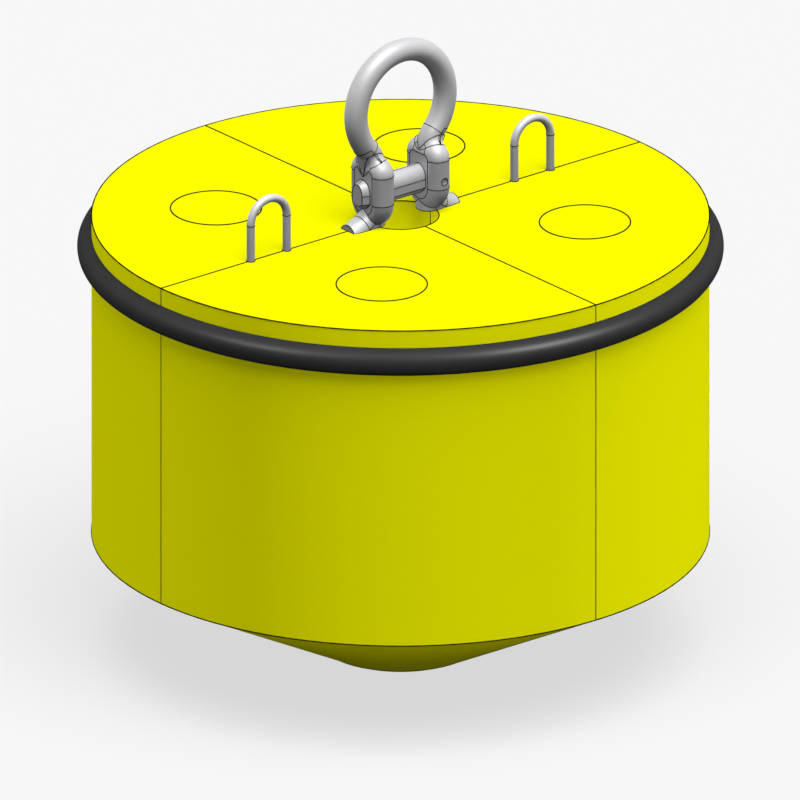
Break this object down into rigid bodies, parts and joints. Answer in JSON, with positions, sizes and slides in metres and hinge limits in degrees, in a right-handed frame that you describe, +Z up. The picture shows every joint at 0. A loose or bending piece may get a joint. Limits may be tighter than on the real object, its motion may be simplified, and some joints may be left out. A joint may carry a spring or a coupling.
{
  "type": "mooring buoy",
  "caption": "Round steel mooring buoy: cylindrical hull with a conical bottom, hawse pipe, rubber fender ring, manhole covers, lifting lugs and a mooring shackle on deck.",
  "frame": {"origin": "on the floor, at the middle of the flat foot under the hull's axis", "axes": "+Z up along the hawse pipe; +X along the deck seam that carries the two lifting lugs, and along the shackle's pin towards the eye with the locking-pin hole"},
  "size_m": [3.1393, 3.1394, 3.169],
  "materials": {
    "yellow_paint": "safety-yellow marine paint on welded steel plate, low sheen",
    "inner_primer": "matt grey primer inside the compartments",
    "forged_steel": "forged steel, satin grey, for the shackle and its pin",
    "lug_steel": "bent round bar, satin grey",
    "fender_rubber": "black moulded rubber, dull sheen"
  },
  "bodies": {
    "hull": {"deck_plate_1": "yellow_paint", "deck_plate_2": "yellow_paint", "deck_plate_3": "yellow_paint", "deck_plate_4": "yellow_paint", "side_shell_1": "yellow_paint", "side_shell_2": "yellow_paint", "side_shell_3": "yellow_paint", "side_shell_4": "yellow_paint", "cone_plate_1": "yellow_paint", "cone_plate_2": "yellow_paint", "cone_plate_3": "yellow_paint", "cone_plate_4": "yellow_paint", "foot_plate": "yellow_paint", "hawse_pipe": "yellow_paint", "bulkhead_1": "inner_primer", "bulkhead_2": "inner_primer", "bulkhead_3": "inner_primer", "bulkhead_4": "inner_primer", "manhole_seat_1": "yellow_paint", "manhole_seat_2": "yellow_paint", "manhole_seat_3": "yellow_paint", "manhole_seat_4": "yellow_paint", "fender": "fender_rubber", "lifting_lug_1": "lug_steel", "lifting_lug_2": "lug_steel"},
    "shackle": {"shackle_body": "forged_steel"},
    "pin": {"shackle_pin": "forged_steel"},
    "cover_1": {"manhole_cover_1": "yellow_paint"},
    "cover_2": {"manhole_cover_2": "yellow_paint"},
    "cover_3": {"manhole_cover_3": "yellow_paint"},
    "cover_4": {"manhole_cover_4": "yellow_paint"}
  },
  "joints": [
    {"name": "shackle_swivel", "type": "hinge", "parent": "hull", "child": "shackle", "pos_m": [0, 0, 2.25], "axis": [0, 0, 1], "continuous": true},
    {"name": "pin_draw", "type": "slide", "parent": "shackle", "child": "pin", "axis": [-1, 0, 0], "range_m": [0, 0.385]},
    {"name": "cover_lift_1", "type": "slide", "parent": "hull", "child": "cover_1", "axis": [0, 0, 1], "range_m": [0, 0.25]},
    {"name": "cover_lift_2", "type": "slide", "parent": "hull", "child": "cover_2", "axis": [0, 0, 1], "range_m": [0, 0.25]},
    {"name": "cover_lift_3", "type": "slide", "parent": "hull", "child": "cover_3", "axis": [0, 0, 1], "range_m": [0, 0.25]},
    {"name": "cover_lift_4", "type": "slide", "parent": "hull", "child": "cover_4", "axis": [0, 0, 1], "range_m": [0, 0.25]}
  ]
}
